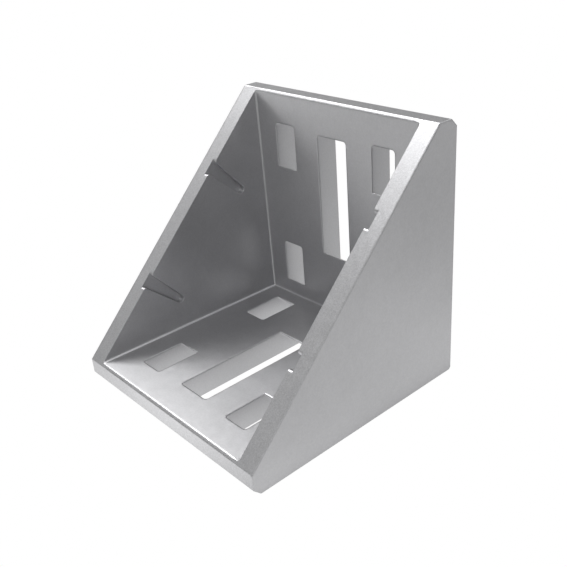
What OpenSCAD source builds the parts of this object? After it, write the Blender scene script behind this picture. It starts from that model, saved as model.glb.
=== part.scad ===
// Corner bracket for slotted profiles, cast in one piece.
// X runs across the bracket, +Y to the back and +Z up. The origin is the middle of the outer corner,
// where the plane of the base face meets the plane of the back face.

/* [Legs] */
// Width of the bracket, over both gussets
width = 77.4; // [66:0.5:120]
// Length of each leg, from the outer corner to its end
leg_len = 76.2; // [70:0.5:110]
// Thickness of each leg
leg_t = 7.5; // [6:0.1:10]
// Depth of the band of slope that runs across each leg's end, under the pocket's rim
rim_band = 0.7; // [0.3:0.1:2]
// Chamfer on the outer edge of each leg's end
end_chamfer = 2.2; // [0.5:0.1:3]
// Chamfer on the outer corner
heel_chamfer = 0.8; // [0.3:0.1:2]

/* [Gussets] */
// Thickness of each gusset, at its slope
gusset_t = 5.9; // [4:0.1:7]
// Radius of the fillets in the pocket between the gussets
fillet_r = 0.8; // [0.3:0.1:2]
// Angle at which each gusset gets thicker on the inside, down from its slope
pocket_draft = 1.6; // [0.5:0.1:3]

/* [Bolt slots] */
// Distance between the bolt slots' centres, across and along a leg
slot_pitch = 40; // [34:0.5:42]
// Distance from the outer corner to the centre of the nearer bolt slots
slot_start = 19.6; // [18:0.1:24]
// Width of a bolt slot
slot_w = 8.4; // [6:0.1:10]
// Length of a bolt slot, along its leg
slot_len = 13.8; // [10:0.1:16]
// Radius of the two corners at a bolt slot's far end
slot_r = 1; // [0.5:0.1:2.5]

/* [Middle slots] */
// Width of the long slot in the middle of each leg
middle_w = 11.6; // [6:0.1:16]
// Length of the long slot
middle_len = 37.7; // [20:0.1:38]
// Distance from the outer corner to the near end of the long slot
middle_start = 27.8; // [16:0.1:30]
// Radius of the two corners at the long slot's far end
middle_r = 1; // [0.5:0.1:2.5]

/* [Cap grooves] */
// Distance between the two cap grooves on a gusset, along its slope
cap_pitch = 40; // [20:0.5:60]
// Width of a cap groove at its mouth, on the slope
cap_mouth = 4.3; // [3:0.1:8]
// Width of a cap groove at its inner end
cap_end = 2.5; // [1:0.1:3]
// Length of a cap groove, in from the slope
cap_len = 15.4; // [8:0.1:20]
// Depth of a cap groove into the gusset
cap_depth = 1.6; // [0.5:0.1:2.5]
// Radius of the two lips at a cap groove's mouth
cap_lip_r = 1; // [0.3:0.1:1.5]

/* [Hidden] */
$fn = 64;
// How far a cutting shape runs past what it cuts
past = 2;
// Height of a leg's flat end, up to the slope
end_h = leg_t - rim_band;
// The slope's line in the side view: forward distance plus height
slope_sum = leg_len + end_h;
// Half the clear width between the gussets, at the slope
inner_half = width / 2 - gusset_t;
// How far a gusset's inner face leans over across, for each millimetre along or up a leg
lean = tan(pocket_draft) / sqrt(2);

// Turns a side view, drawn as forward distance and height, into a solid across the bracket
module across(w) {
    rotate([90, 0, -90])
        linear_extrude(height = w, center = true)
            children();
}

// Lays what is made on the base leg against the back leg instead
module on_back_leg() {
    mirror([0, 1, 1])
        children();
}

// Makes something on both legs
module on_both_legs() {
    children();
    on_back_leg()
        children();
}

// A rectangle with round corners, from its low corner
module round_rect(size, r) {
    translate([r, 0])
        square([size[0] - 2 * r, size[1]]);
    translate([0, r])
        square([size[0], size[1] - 2 * r]);
    for (x = [r, size[0] - r], y = [r, size[1] - r])
        translate([x, y])
            circle(r);
}

// The outline of both legs and the slope, seen from the side
module side_outline() {
    polygon([
        [heel_chamfer, 0],
        [leg_len - end_chamfer, 0],
        [leg_len, end_chamfer],
        [leg_len, end_h],
        [end_h, leg_len],
        [end_chamfer, leg_len],
        [0, leg_len - end_chamfer],
        [0, heel_chamfer]
    ]);
}

// The space between the planes of the gussets' inner faces, which lean in below the slope
module between_gussets() {
    depth = slope_sum / sqrt(2) + past;
    top = inner_half + past * tan(pocket_draft);
    bottom = inner_half - depth * tan(pocket_draft);
    translate([0, -slope_sum / 2, slope_sum / 2])
        rotate([45, 0, 0])
            rotate([90, 0, 0])
                linear_extrude(height = 3 * leg_len, center = true)
                    polygon([[-top, past], [-bottom, -depth], [bottom, -depth], [top, past]]);
}

// All the space over the base leg's inner face, rounded off along the foot of the left gusset. The
// fillet is tangent to the leg and meets the leaning gusset at a few degrees.
module over_left_foot() {
    reach = leg_len + past;
    turn = atan(lean);
    centre = fillet_r * (1 - sin(turn)) - fillet_r / 400;
    translate([-inner_half, leg_t - slope_sum, leg_t])
        rotate([90, 0, -turn])
            linear_extrude(height = 2 * reach, center = true) {
                translate([centre, fillet_r])
                    circle(fillet_r);
                translate([centre, 0])
                    square([width + past, reach]);
                translate([-past, fillet_r])
                    square([2 * past, reach]);
            }
}

// The space between the gussets, filleted where two of its faces meet
module pocket() {
    reach = leg_len + past;
    intersection() {
        across(2 * inner_half + past)
            translate([leg_t, leg_t])
                round_rect([reach, reach], fillet_r);
        between_gussets();
        over_left_foot();
        mirror([1, 0, 0])
            over_left_foot();
        on_back_leg()
            over_left_foot();
        on_back_leg()
            mirror([1, 0, 0])
                over_left_foot();
    }
}

// A slot through the base leg, centred across on x and running forward from its near end. Its sides and
// its far end are square to the leg. Its near end slants down and back, in the direction in which the
// slots' cores draw out past the outer corner, so the slot is longer on the outer face.
module slot(x, near, w, len, r) {
    reach = leg_t + 2 * past;
    difference() {
        translate([x - w / 2, -near - len, -past])
            linear_extrude(height = reach)
                round_rect([w, len + reach + r], r);
        translate([x - w, -near, leg_t])
            rotate([45, 0, 0])
                translate([0, 0, -2 * reach])
                    cube([2 * w, 2 * reach, 4 * reach]);
    }
}

// The four bolt slots and the long slot of the base leg
module leg_slots() {
    for (x = [-0.5, 0.5], row = [0, 1])
        slot(x * slot_pitch, slot_start + row * slot_pitch - slot_len / 2, slot_w, slot_len, slot_r);
    slot(0, middle_start, middle_w, middle_len, middle_r);
}

// The outline of a cap groove, with its mouth on the line y = 0 and running down from it. The lips are
// tangent to the slope, and meet the groove's tapered sides at a few degrees.
module cap_groove_outline() {
    end_r = cap_end / 2;
    taper = (cap_mouth / 2 - end_r) / (cap_len - end_r);
    slant = sqrt(1 + taper * taper);
    lip_x = cap_mouth / 2 + cap_lip_r * (1 - taper);
    polygon([
        [-cap_mouth / 2, 0],
        [-end_r, end_r - cap_len],
        [end_r, end_r - cap_len],
        [cap_mouth / 2, 0]
    ]);
    translate([0, end_r - cap_len])
        circle(end_r);
    for (side = [-1, 1])
        difference() {
            polygon([
                [0, past],
                [side * lip_x, past],
                [side * lip_x, -cap_lip_r],
                [side * (lip_x - cap_lip_r / slant), cap_lip_r * (taper / slant - 1)],
                [0, cap_lip_r * (taper / slant - 1)]
            ]);
            translate([side * lip_x, -cap_lip_r])
                circle(cap_lip_r);
        }
}

// The two grooves in each gusset's inner face that hold a cap
module cap_grooves() {
    across(2 * (inner_half + cap_depth))
        translate([slope_sum / 2, slope_sum / 2])
            rotate(-45)
                for (side = [-0.5, 0.5])
                    translate([side * cap_pitch, 0])
                        cap_groove_outline();
}

// The whole bracket, one casting
module bracket() {
    color("silver")
        difference() {
            across(width)
                side_outline();
            pocket();
            on_both_legs()
                leg_slots();
            cap_grooves();
        }
}

bracket();
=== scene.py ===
import math

import bmesh
import bpy
from mathutils import Matrix, Vector


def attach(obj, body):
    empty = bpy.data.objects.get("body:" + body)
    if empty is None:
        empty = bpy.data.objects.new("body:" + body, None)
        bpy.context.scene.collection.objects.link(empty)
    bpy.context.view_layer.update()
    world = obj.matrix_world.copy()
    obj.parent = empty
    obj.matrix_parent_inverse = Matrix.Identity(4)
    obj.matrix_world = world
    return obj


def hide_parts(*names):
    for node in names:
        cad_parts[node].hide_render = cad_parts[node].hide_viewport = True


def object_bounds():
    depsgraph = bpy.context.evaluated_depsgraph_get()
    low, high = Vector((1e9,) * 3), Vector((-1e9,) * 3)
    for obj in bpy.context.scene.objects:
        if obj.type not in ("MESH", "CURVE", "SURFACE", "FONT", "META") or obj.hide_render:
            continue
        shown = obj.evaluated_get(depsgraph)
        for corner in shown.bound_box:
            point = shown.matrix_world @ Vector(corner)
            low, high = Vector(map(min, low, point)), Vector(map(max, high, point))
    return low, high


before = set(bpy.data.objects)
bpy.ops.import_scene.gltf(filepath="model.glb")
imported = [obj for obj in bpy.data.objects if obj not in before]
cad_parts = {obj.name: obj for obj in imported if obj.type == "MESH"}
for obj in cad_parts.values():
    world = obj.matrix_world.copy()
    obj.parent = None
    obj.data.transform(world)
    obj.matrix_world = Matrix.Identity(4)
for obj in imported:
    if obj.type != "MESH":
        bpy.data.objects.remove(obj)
cad_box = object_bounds()

# Sizes of the casting in metres, the largest ones from the frame
HALF_WIDTH = cad_box[1][0]
LEG_LEN = cad_box[1][2]
LEG_T = 0.0075                              # thickness of a leg
RIM_BAND = 0.0007                           # from the end of a leg's inner face to the leg's end
SLOPE_SUM = LEG_LEN + LEG_T - RIM_BAND      # forward distance plus height on the slope
WALL_X = HALF_WIDTH - 0.0059                # inner face of a gusset, at its slope
DRAFT = math.radians(1.6)                   # how far that face leans in, down from the slope
FILLET_R = 0.0008                           # fillets of the pocket between the gussets
GROOVE_X = WALL_X + 0.0016                  # floor of the cap grooves
GROOVE_LEN = 0.0154                         # length of a cap groove, in from the slope
LIP_R = 0.001                               # round lips at a cap groove's mouth

# How far the sharp edges are broken, and how much farther at the rims of the cap grooves
EDGE = 0.00012
GROOVE_EDGE = 2 * EDGE
# Faces that meet at a larger angle than this have a sharp edge between them
SHARP_ANGLE = math.radians(35)
# Faces that meet at a smaller angle than this shade as one
SMOOTH_ANGLE = math.radians(60)
# How far a point may lie off a line or face and still count as on it
NEAR = 0.00005


def towards(azimuth, height):
    """The direction at an azimuth from +X and a height over the horizon, in degrees."""
    a, h = math.radians(azimuth), math.radians(height)
    return Vector((math.cos(h) * math.cos(a), math.cos(h) * math.sin(a), math.sin(h)))


def add_object(name, data):
    """A new object in the scene."""
    o = bpy.data.objects.new(name, data)
    bpy.context.scene.collection.objects.link(o)
    return o


# Camera at the photograph's viewing angle: its eye, where it looks and how far it is turned, in degrees
EYE = Vector((0.15808, -0.15989, 0.13216))
LOOK_AZIMUTH, LOOK_HEIGHT, LOOK_TURN = 140.507, -27.104, -4.737
FOCAL_LENGTH, SENSOR_WIDTH = 49.57, 36

camera_data = bpy.data.cameras.new("camera")
camera_data.lens = FOCAL_LENGTH
camera_data.sensor_width = SENSOR_WIDTH
camera_data.clip_start = 0.01
camera_data.clip_end = 20
camera = add_object("camera", camera_data)
camera.matrix_world = (Matrix.Translation(EYE)
                       @ towards(LOOK_AZIMUTH, LOOK_HEIGHT).to_track_quat("-Z", "Y").to_matrix().to_4x4()
                       @ Matrix.Rotation(math.radians(LOOK_TURN), 4, "Z"))
bpy.context.scene.camera = camera


def node(tree, kind, **values):
    """Adds a shader node and sets its inputs by name."""
    n = tree.nodes.new(kind)
    for name, value in values.items():
        n.inputs[name].default_value = value
    return n


def maths(tree, operation, *values):
    """A Math node of numbers and other nodes' values."""
    n = node(tree, "ShaderNodeMath")
    n.operation = operation
    for socket, value in zip(n.inputs, values):
        if isinstance(value, (int, float)):
            socket.default_value = value
        else:
            tree.links.new(value, socket)
    return n.outputs[0]


def chain(tree, value, *steps):
    """Runs a value through Math nodes, each an operation with its second value, if it has one."""
    for operation, *second in steps:
        value = maths(tree, operation, value, *second)
    return value


def ranged(tree, value, low, high, to_low, to_high, interpolation="LINEAR"):
    """Turns a value between low and high into one between to_low and to_high, and holds it at both ends."""
    n = node(tree, "ShaderNodeMapRange", **{"From Min": low, "From Max": high, "To Min": to_low,
                                            "To Max": to_high})
    n.interpolation_type = interpolation
    tree.links.new(value, n.inputs["Value"])
    return n.outputs["Result"]


def vector_maths(tree, operation, vector, other, output):
    """A Vector Math node of another node's vector and a fixed one, and which of its outputs is wanted."""
    n = node(tree, "ShaderNodeVectorMath")
    n.operation = operation
    n.inputs[1].default_value = other
    tree.links.new(vector, n.inputs[0])
    return n.outputs[output]


def axes_of(tree, vector):
    """A vector's X, Y and Z."""
    n = node(tree, "ShaderNodeSeparateXYZ")
    tree.links.new(vector, n.inputs[0])
    return n.outputs


def lay_out(tree, last):
    """Sets a shader's nodes out in columns, from the last one on the right back to what feeds it."""
    column = {last: 0}
    waiting = [last]
    while waiting:
        n = waiting.pop()
        for source in [link.from_node for socket in n.inputs for link in socket.links]:
            if column.get(source, 0) <= column[n]:
                column[source] = column[n] + 1
                waiting.append(source)
    used = {}
    for n, place in column.items():
        n.location = (-200 * place, -180 * used.get(place, 0))
        used[place] = used.get(place, 0) + 1


def cast_aluminium():
    """Die-cast aluminium with a fine blasted skin, coarser where the faces' values say so, and with a
    painted highlight on the fillets at the base leg's feet.
    """
    material = bpy.data.materials.new("cast_aluminium")
    material.use_nodes = True
    t = material.node_tree
    shader = t.nodes["Principled BSDF"]
    shader.inputs["Metallic"].default_value = 1
    place = node(t, "ShaderNodeTexCoord").outputs["Object"]

    def noise(scale, detail, roughness):
        n = node(t, "ShaderNodeTexNoise", Scale=scale, Detail=detail, Roughness=roughness)
        t.links.new(place, n.inputs["Vector"])
        return n.outputs["Fac"]

    def layer(name):
        """A value that paint_faces puts on the faces."""
        n = node(t, "ShaderNodeAttribute")
        n.attribute_name = name
        return n.outputs["Fac"]

    def spread(value, to_low, to_high, low=0.3, high=0.7):
        """A noise, which mostly stays between low and high, turned into another range."""
        return ranged(t, value, low, high, to_low, to_high)

    def plus(first, second):
        return maths(t, "ADD", first, second)

    def times(first, second):
        return maths(t, "MULTIPLY", first, second)

    cloud = noise(55, 3, 0.55)      # slow mottling, about 20 mm
    patch = noise(420, 2, 0.5)      # patches of a few millimetres
    grain = noise(1900, 2, 0.6)     # the blasted grain, about half a millimetre
    speck = noise(3600, 1, 0.5)     # single grains that catch the light
    grit = layer("grit")

    # Colour: an even grey with slow mottling and fine grain, which is coarser where there is grit
    tone = plus(spread(cloud, 0.975, 1.02), spread(patch, -0.02, 0.02))
    tone = plus(tone, times(spread(grain, -0.045, 0.045, 0.25, 0.75), plus(grit, 1)))
    tone = plus(tone, times(spread(speck, -0.09, 0.09), grit))
    # Painted highlight: the foot fillets are painted paler, standing in for light that they catch
    tone = plus(tone, times(layer("painted_highlight"), 0.5))
    grey = (0.6, 0.6, 0.612, 1)
    colour = node(t, "ShaderNodeMix")
    colour.data_type = "RGBA"
    colour.blend_type = "MULTIPLY"
    colour.inputs["Factor"].default_value = 1
    colour.inputs["A"].default_value = grey
    t.links.new(tone, colour.inputs["B"])
    t.links.new(colour.outputs["Result"], shader.inputs["Base Color"])

    # Roughness: varies with the skin
    t.links.new(plus(spread(patch, 0.38, 0.42), spread(speck, -0.03, 0.03)), shader.inputs["Roughness"])

    # Relief: the grain, very shallow waves from the die, and edges that shade round, less so by the gussets
    beside = maths(t, "ABSOLUTE", axes_of(t, place)["X"])
    soft_r, crisp_r = 0.0007, 0.0002
    crisp_from, crisp_to = (0.0305, 0.0315), (0.0350, 0.0355)
    inside = ranged(t, beside, *crisp_from, soft_r, crisp_r)
    outside = ranged(t, beside, *crisp_to, 0, soft_r - crisp_r)
    soft = node(t, "ShaderNodeBevel")
    soft.samples = 8
    t.links.new(plus(inside, outside), soft.inputs["Radius"])
    wave = node(t, "ShaderNodeBump", Strength=0.3, Distance=0.0001)
    t.links.new(cloud, wave.inputs["Height"])
    t.links.new(soft.outputs[0], wave.inputs["Normal"])
    bump = node(t, "ShaderNodeBump", Strength=0.25, Distance=0.00002)
    t.links.new(times(plus(grain, times(speck, 0.5)), plus(times(grit, 0.5), 1)), bump.inputs["Height"])
    t.links.new(wave.outputs[0], bump.inputs["Normal"])
    t.links.new(bump.outputs[0], shader.inputs["Normal"])
    lay_out(t, t.nodes["Material Output"])
    return material


def under_slope(p):
    """How far a point lies below the slope, square to it."""
    return (SLOPE_SUM + p.y - p.z) / math.sqrt(2)


def wall_x(p):
    """The gussets' inner faces, at a point's depth below the slope."""
    return WALL_X - under_slope(p) * math.tan(DRAFT)


# The gussets' inner faces in the pocket's corner, where they are thickest
CORNER_X = wall_x(Vector((0, -LEG_T, LEG_T)))


def left_sharp(e):
    """Edges that meet at a cusp or in the pocket's filleted corner, where a bevel would fold over itself."""
    ends = [v.co for v in e.verts]
    lips = all(abs(abs(p.x) - GROOVE_X) < NEAR for p in ends) and min(map(under_slope, ends)) < LIP_R + NEAR
    reach = FILLET_R + NEAR
    corner = all(abs(p.x) > CORNER_X - reach and p.y > -LEG_T - reach and p.z < LEG_T + reach for p in ends)
    return lips or corner


def in_groove(p):
    """Whether a point is on a cap groove's rim or floor, under the lips and clear of the legs."""
    lip_top, clear = 0.0006, 0.002
    return (abs(p.x) > wall_x(p) - NEAR and lip_top < under_slope(p) < GROOVE_LEN + 2 * GROOVE_EDGE
            and p.y < -LEG_T - clear and p.z > LEG_T + clear)


def groove_rim(e):
    """Whether an edge is a cap groove's rim, in the gusset's inner face."""
    return all(in_groove(v.co) and abs(v.co.x) < wall_x(v.co) + NEAR for v in e.verts)


def foot_painted_highlight(f, p):
    """How much painted highlight a face gets in the fillets between the base leg and the gussets: strongest
    near the leg.
    """
    reach = FILLET_R + NEAR
    on_leg = abs(f.normal.x) < 0.1
    in_fillet = (CORNER_X - reach < abs(p.x) < WALL_X and p.y < -LEG_T - reach
                 and LEG_T - NEAR < p.z < LEG_T + reach and not on_leg)
    steepest, rise, strongest_highlight = 0.5, 0.2, 1.2
    return max(0.0, min(strongest_highlight, (f.normal.z - steepest) / rise)) if in_fillet else 0.0


def break_edges(bm):
    """Bevels the sharp edges, the rims of the cap grooves by more than the others."""
    sharp = [e for e in bm.edges if len(e.link_faces) == 2 and e.calc_face_angle() > SHARP_ANGLE
             and not left_sharp(e)]
    rims = [e for e in sharp if groove_rim(e)]
    others = [e for e in sharp if not groove_rim(e)]
    for edges, offset in ((rims, GROOVE_EDGE), (others, EDGE)):
        edges = [e for e in edges if e.is_valid]
        bmesh.ops.bevel(bm, geom=edges, offset=offset, offset_type="OFFSET", segments=3, profile=0.5,
                        affect="EDGES", clamp_overlap=False)


def paint_faces(bm):
    """Puts the values that the material reads on the faces: how much painted highlight and how gritty each
    one is.
    """
    painted_highlight, grit = (bm.faces.layers.float.new(name) for name in ("painted_highlight", "grit"))
    for f in bm.faces:
        p = f.calc_center_median()
        past_legs = max(-p.y, p.z) > LEG_LEN - RIM_BAND
        # Painted highlight on the fillets at the base leg's feet
        f[painted_highlight] = foot_painted_highlight(f, p)
        f[grit] = 1.0 if past_legs or under_slope(p) < 2 * NEAR else 0.0


def corner_normals(bm):
    """The flat faces' own normals at their corners, so that only the broken edges shade round."""
    normals = []
    for f in bm.faces:
        for corner in f.loops:
            total = Vector((0, 0, 0))
            for g in corner.vert.link_faces:
                if g.normal.angle(f.normal, 0) < SMOOTH_ANGLE:
                    total += g.normal * g.calc_area()
            normals.append(total.normalized() if total.length else f.normal.copy())
    return normals


def bracket_mesh(source):
    """A copy of the CAD node with its flat faces whole and its sharp edges broken."""
    bm = bmesh.new()
    bm.from_mesh(source.data)
    bmesh.ops.remove_doubles(bm, verts=bm.verts, dist=1e-6)
    bmesh.ops.dissolve_limit(bm, angle_limit=math.radians(0.5), verts=bm.verts, edges=bm.edges)
    break_edges(bm)
    paint_faces(bm)
    for f in bm.faces:
        f.smooth = True
    normals = corner_normals(bm)
    mesh = bpy.data.meshes.new("bracket_casting")
    bm.to_mesh(mesh)
    bm.free()
    mesh.normals_split_custom_set(normals)
    return mesh


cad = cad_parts["bracket"]
casting = add_object("bracket_casting", bracket_mesh(cad))
casting.data.materials.append(cast_aluminium())
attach(casting, "root")
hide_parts("bracket")


def empty_tree(owner):
    """The shader of a material or a world, with no nodes in it yet."""
    owner.use_nodes = True
    owner.node_tree.nodes.clear()
    return owner.node_tree


def seen_white(tree, kind, strength, output):
    """Light of a given strength from a surface or the world, and plain white where the camera sees it."""
    lit = node(tree, kind, Color=(1, 1, 1, 1))
    tree.links.new(strength, lit.inputs["Strength"])
    white = node(tree, kind, Color=(1, 1, 1, 1), Strength=1.0)
    ray = node(tree, "ShaderNodeLightPath")
    mix = node(tree, "ShaderNodeMixShader")
    last = node(tree, output)
    tree.links.new(ray.outputs["Is Camera Ray"], mix.inputs[0])
    tree.links.new(lit.outputs[0], mix.inputs[1])
    tree.links.new(white.outputs[0], mix.inputs[2])
    tree.links.new(mix.outputs[0], last.inputs["Surface"])
    lay_out(tree, last)


def hump(tree, distance, size, height):
    """A smooth hump over the place where the distance is nought."""
    return chain(tree, distance, ("MULTIPLY", 1 / size), ("POWER", 2), ("MULTIPLY", -0.5), ("EXPONENT",),
                 ("MULTIPLY", height))


def in_rectangle(tree, place, centre, half, soft, inside, outside):
    """One value in a rectangle on the table and another around it, with a soft edge."""
    away = vector_maths(tree, "SUBTRACT", place, (*centre, 0), "Vector")
    axes = axes_of(tree, vector_maths(tree, "ABSOLUTE", away, (0, 0, 0), "Vector"))
    past = maths(tree, "MAXIMUM", *(maths(tree, "SUBTRACT", axes[i], half[i]) for i in range(2)))
    return ranged(tree, past, 0, soft, inside, outside, "SMOOTHSTEP")


# A glowing table of even brightness with painted pools of light and painted shade: place, size and change of
# brightness
TABLE_SIZE, TABLE_Z, TABLE_LEVEL = 12, -0.0002, 0.615
PATCHES = (
    ((0.002, -0.1155), 0.0415, 0.94),   # bright in front of the bracket
    ((0.055, -0.1675), 0.041, -2.0),    # dark farther out at the front right
    ((0.055, 0.012), 0.03, 0.14),       # behind the bracket, on the right
    ((0.15, 0.1), 0.035, -0.2),         # dark far out at the back right
    ((-0.013, -0.012), 0.015, 0.32),    # under the outer corner
)


def table_material():
    """The table's own glow: its painted patches of light and shade, a painted bright strip far at the front
    left, and painted shade under the bracket.
    """
    material = bpy.data.materials.new("paper")
    t = empty_tree(material)
    place = node(t, "ShaderNodeTexCoord").outputs["Object"]
    level = TABLE_LEVEL
    for centre, size, change in PATCHES:
        away = vector_maths(t, "DISTANCE", place, (*centre, TABLE_Z), "Value")
        level = maths(t, "ADD", hump(t, away, size, change), level)
    strip = in_rectangle(t, place, centre=(-0.317, -0.263), half=(0.049, 0.0125), soft=0.012,
                         inside=5.4, outside=0)
    # Painted shade: the table glows less under the bracket
    under = in_rectangle(t, place, centre=(0, -LEG_LEN / 2), half=(HALF_WIDTH, LEG_LEN / 2), soft=0.004,
                         inside=0.87, outside=1)
    level = chain(t, level, ("ADD", strip), ("MAXIMUM", 0), ("MULTIPLY", under))
    seen_white(t, "ShaderNodeEmission", level, "ShaderNodeOutputMaterial")
    return material


half = TABLE_SIZE / 2
floor_mesh = bpy.data.meshes.new("floor")
floor_mesh.from_pydata([(x * half, y * half, TABLE_Z) for x, y in ((-1, -1), (1, -1), (1, 1), (-1, 1))], [],
                       [(0, 1, 2, 3)])
floor = add_object("floor", floor_mesh)
floor.data.materials.append(table_material())

# Soft light from a room: brighter upwards, with a band all round at a height of about 26 degrees and three
# broad lights, each with its azimuth and height in degrees, its tightness and its brightness
ROOM_LOW, ROOM_HIGH, ROOM_RISE = 0.0126, 0.187, 1.68
BAND_Z, BAND_SIZE, BAND_LEVEL = 0.44, 0.105, 0.645
ROOM_LIGHTS = (
    (-57, 41, 8.8, 0.66),       # front right
    (-150, 2.4, 12, 0.173),     # low at the front left
    (80, 52, 28, 2.4),          # high at the back, tighter
)

world = bpy.data.worlds.new("studio")
t = empty_tree(world)
place = node(t, "ShaderNodeTexCoord").outputs["Generated"]
height = axes_of(t, place)["Z"]
level = chain(t, height, ("MAXIMUM", 0), ("POWER", ROOM_RISE), ("MULTIPLY", ROOM_HIGH), ("ADD", ROOM_LOW))
level = maths(t, "ADD", level, hump(t, maths(t, "SUBTRACT", height, BAND_Z), BAND_SIZE, BAND_LEVEL))
for azimuth, up, tightness, brightness in ROOM_LIGHTS:
    near = vector_maths(t, "DOT_PRODUCT", place, towards(azimuth, up), "Value")
    level = maths(t, "ADD", level, chain(t, near, ("SUBTRACT", 1), ("MULTIPLY", tightness), ("EXPONENT",),
                                         ("MULTIPLY", brightness)))
seen_white(t, "ShaderNodeBackground", maths(t, "MAXIMUM", level, 0), "ShaderNodeOutputWorld")
bpy.context.scene.world = world

# One large round softbox, high on the left: its direction and half its apparent width in degrees
SOFTBOX_AZIMUTH, SOFTBOX_HEIGHT, SOFTBOX_SPAN = 176.4, 52.9, 15.8
SOFTBOX_AWAY, SOFTBOX_LEVEL = 2.0, 6.36
MIDDLE = Vector((0, -0.038, 0.035))

softbox_way = towards(SOFTBOX_AZIMUTH, SOFTBOX_HEIGHT)
softbox_r = SOFTBOX_AWAY * math.tan(math.radians(SOFTBOX_SPAN))
lamp = bpy.data.lights.new("softbox", "AREA")
lamp.shape = "DISK"
lamp.size = 2 * softbox_r
lamp.energy = SOFTBOX_LEVEL * math.pi * math.pi * softbox_r ** 2
softbox = add_object("softbox", lamp)
softbox.location = MIDDLE + SOFTBOX_AWAY * softbox_way
softbox.rotation_euler = softbox_way.to_track_quat("Z", "Y").to_euler()
softbox.visible_camera = False

bpy.context.scene.view_settings.view_transform = "Standard"
